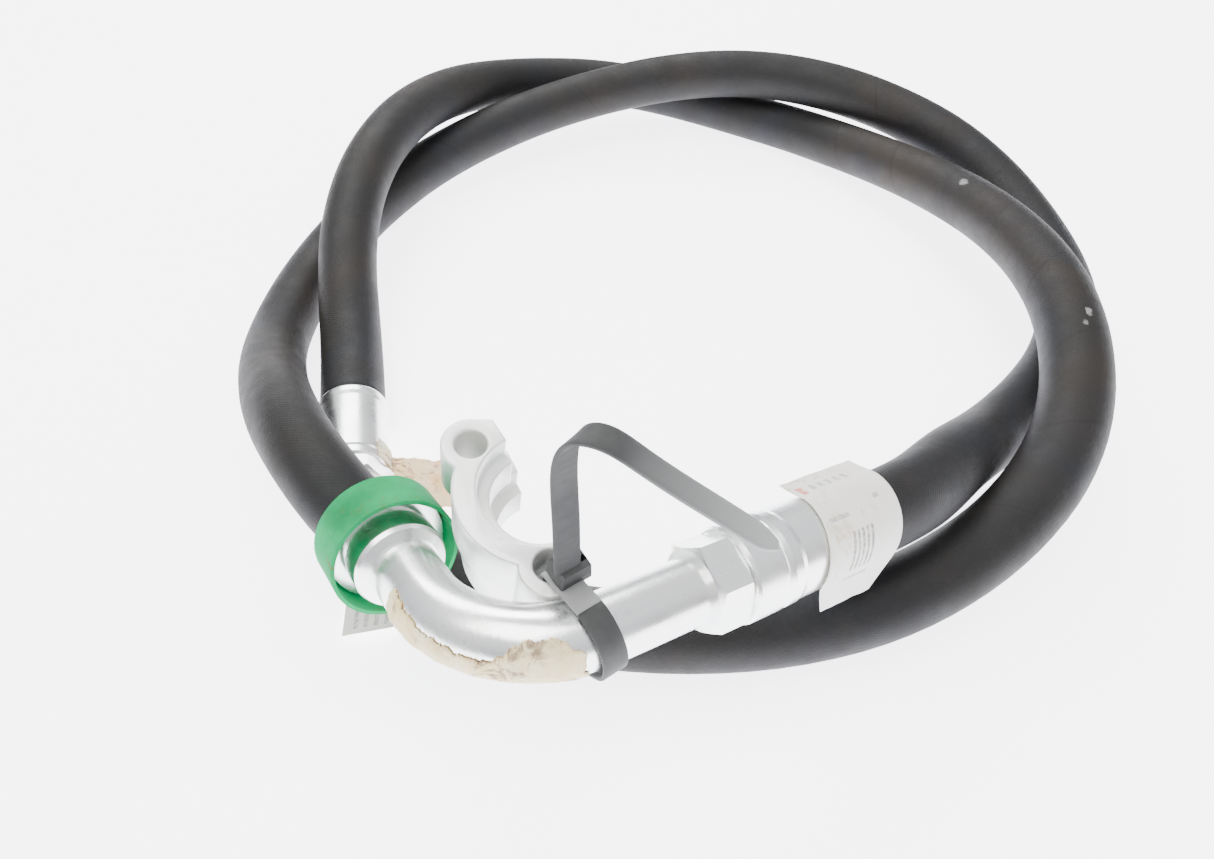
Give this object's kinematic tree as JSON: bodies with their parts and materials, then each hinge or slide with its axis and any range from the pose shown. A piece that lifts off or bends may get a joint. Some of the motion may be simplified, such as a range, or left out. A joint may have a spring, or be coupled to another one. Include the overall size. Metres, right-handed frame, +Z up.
{
  "type": "hydraulic hose assembly",
  "caption": "Wire-reinforced hydraulic hose lying in a loose coil, with a capped flanged 90 degree elbow on one end, a capped straight fitting on the other and split flange clamp halves tied on",
  "frame": {"origin": "middle of the whole part's outline seen from above, on the surface it lies on", "axes": "+Z up; +X roughly along the elbow's hose leg, which also drops a little; +Y roughly the way the flange port faces, which also points a little down"},
  "size_m": [0.4966, 0.4952, 0.1604],
  "materials": {
    "cover_rubber": "matt black wrapped rubber",
    "wire_ply": "spiral plated steel wire",
    "liner_rubber": "smooth black rubber",
    "zinc_tube": "bright zinc plate on bent tube",
    "zinc_turned": "bright zinc plate on turned steel",
    "zinc_forged": "pale matt zinc plate on a forging",
    "seal_rubber": "black nitrile rubber",
    "cap_green": "green polyethylene",
    "cap_white": "white polyethylene",
    "tie_nylon": "dark grey nylon",
    "masking_tape": "torn cream crepe tape",
    "label_paper": "printed paper label"
  },
  "bodies": {
    "hose": {"hose_cover": "cover_rubber", "wire_reinforcement": "wire_ply", "inner_tube": "liner_rubber", "elbow_tube": "zinc_tube", "flange_a": "zinc_turned", "oring_a": "seal_rubber", "stem_a": "zinc_turned", "ferrule_a": "zinc_turned", "stem_b": "zinc_turned", "nose_b": "zinc_turned", "oring_b": "seal_rubber", "ferrule_b": "zinc_turned", "cable_tie": "tie_nylon", "elbow_tape": "masking_tape", "tape_b": "masking_tape", "label_a": "label_paper"},
    "cap_a": {"cap_a": "cap_green"},
    "cap_b": {"cap_b": "cap_white", "label_b": "label_paper"},
    "clamp_front": {"clamp_half_front": "zinc_forged"},
    "clamp_rear": {"clamp_half_rear": "zinc_forged"}
  },
  "joints": [
    {"name": "cap_a_slide", "type": "slide", "parent": "hose", "child": "cap_a", "axis": [0, 0.9744, -0.225], "range_m": [0, 0.009]},
    {"name": "cap_b_slide", "type": "slide", "parent": "hose", "child": "cap_b", "axis": [-0.3746, -0.9272, 0], "range_m": [0, 0.011]},
    {"name": "clamp_front_swing", "type": "hinge", "parent": "hose", "child": "clamp_front", "pos_m": [-0.19054, -0.18001, 0.08508], "axis": [0.0168, -0.2183, 0.9757], "range_deg": [-20, 0]},
    {"name": "clamp_rear_swing", "type": "hinge", "parent": "hose", "child": "clamp_rear", "pos_m": [-0.19091, -0.1751, 0.06313], "axis": [0.0168, -0.2183, 0.9757], "range_deg": [-20, 0]}
  ]
}
